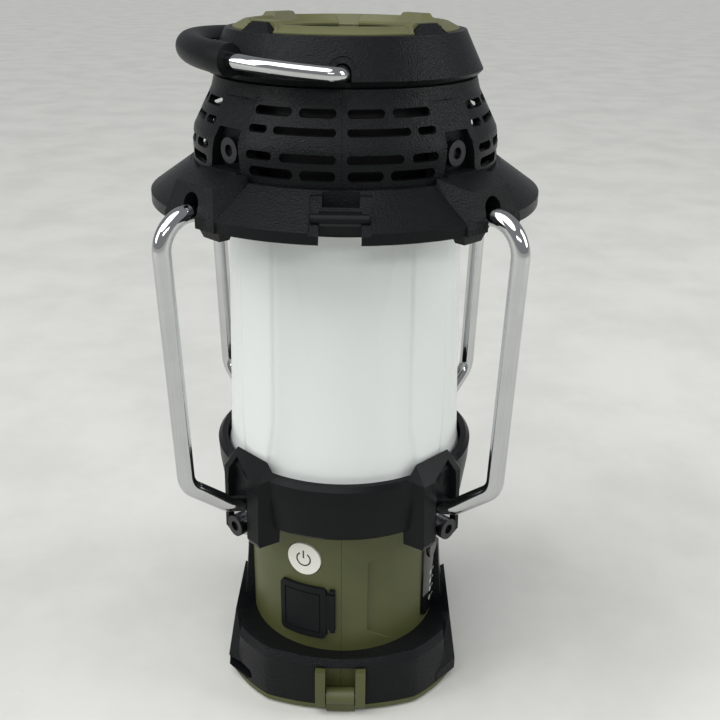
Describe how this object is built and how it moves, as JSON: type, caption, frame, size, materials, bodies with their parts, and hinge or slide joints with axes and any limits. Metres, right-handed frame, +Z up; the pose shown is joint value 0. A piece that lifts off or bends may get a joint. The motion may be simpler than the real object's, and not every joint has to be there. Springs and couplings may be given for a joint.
{
  "type": "camping lantern",
  "caption": "Upright rechargeable camping lantern: frosted globe behind chromed guard bars, vented top with solar window, folding bail, olive battery body and hinged base door.",
  "frame": {"origin": "centre of the base outline, on the surface the lantern stands on", "axes": "+Z up the lantern's axis; -Y is the front, with the moulding seam, the USB cover and the base door's hinge; +X is the side with the control panel; the bail rests folded towards -X"},
  "size_m": [0.1366, 0.136, 0.2574],
  "materials": {
    "black_plastic": "fine leather grain",
    "olive_plastic": "satin",
    "soft_cover": "soft satin",
    "grip_rubber": "satin",
    "seal_rubber": "matte",
    "gloss_panel": "polished",
    "light_lens": "clear",
    "white_plastic": "satin",
    "globe_plastic": "frosted",
    "chrome": "mirror",
    "black_steel": "black oxide",
    "steel": "drawn",
    "contact_metal": "plated",
    "cell_wrap": "shrink wrap",
    "circuit_board": "lacquered",
    "led": "phosphor",
    "post_aluminium": "extruded",
    "solar_silicon": "printed cells",
    "solar_glass": "clear",
    "lead_rubber": "matte"
  },
  "bodies": {
    "lantern": {"bar_back_left": "chrome", "bar_back_right": "chrome", "bar_front_left": "chrome", "bar_front_right": "chrome", "battery_cells": "cell_wrap", "battery_holder": "black_plastic", "body_left": "olive_plastic", "body_right": "olive_plastic", "brim_collar": "black_plastic", "brim_latches": "black_plastic", "button_board": "circuit_board", "cage_baffle": "black_plastic", "cage_left": "black_plastic", "cage_right": "black_plastic", "cage_screws": "black_steel", "cap_shell": "black_plastic", "charge_port": "contact_metal", "control_panel": "gloss_panel", "crown_bezel": "olive_plastic", "globe": "globe_plastic", "globe_seals": "seal_rubber", "hinge_pin": "steel", "indicator_lights": "light_lens", "lamp_board": "circuit_board", "lamp_cap": "white_plastic", "lamp_reflector": "white_plastic", "led_chips": "led", "led_post": "post_aluminium", "led_strips": "circuit_board", "main_board": "circuit_board", "pivot_ring": "black_plastic", "ring_collar": "black_plastic", "ring_screws": "black_steel", "skirt_left": "black_plastic", "skirt_right": "black_plastic", "solar_cells": "solar_silicon", "solar_lead": "lead_rubber", "solar_window": "solar_glass", "usb_bay": "black_plastic", "usb_board": "circuit_board", "usb_cover_pin": "steel", "usb_port_a": "contact_metal"},
    "bail": {"bail_wire": "chrome", "bail_grip": "grip_rubber"},
    "usb_cover": {"usb_cover": "soft_cover"},
    "usb_button": {"usb_button": "white_plastic"},
    "mode_button": {"mode_button": "gloss_panel"},
    "base_door": {"base_door": "olive_plastic", "door_seal": "seal_rubber", "door_contact": "contact_metal", "contact_springs": "contact_metal", "foot_pads": "seal_rubber"}
  },
  "joints": [
    {"name": "bail_swing", "type": "hinge", "parent": "lantern", "child": "bail", "pos_m": [0, 0, 0.244], "axis": [0, 1, 0], "range_deg": [0, 171]},
    {"name": "base_door_hinge", "type": "hinge", "parent": "lantern", "child": "base_door", "pos_m": [0, -0.0474, 0.0086], "axis": [-1, 0, 0], "range_deg": [0, 100]},
    {"name": "usb_cover_hinge", "type": "hinge", "parent": "lantern", "child": "usb_cover", "pos_m": [-0.0034, -0.0392, 0.0422], "axis": [0, 0, 1], "range_deg": [0, 115]},
    {"name": "usb_button_press", "type": "slide", "parent": "lantern", "child": "usb_button", "axis": [0.3778, 0.9259, 0], "range_m": [0, 0.0008], "stiffness_N_per_m": 1200},
    {"name": "mode_button_press", "type": "slide", "parent": "lantern", "child": "mode_button", "axis": [-0.9198, 0.3923, 0], "range_m": [0, 0.001], "stiffness_N_per_m": 1200}
  ]
}
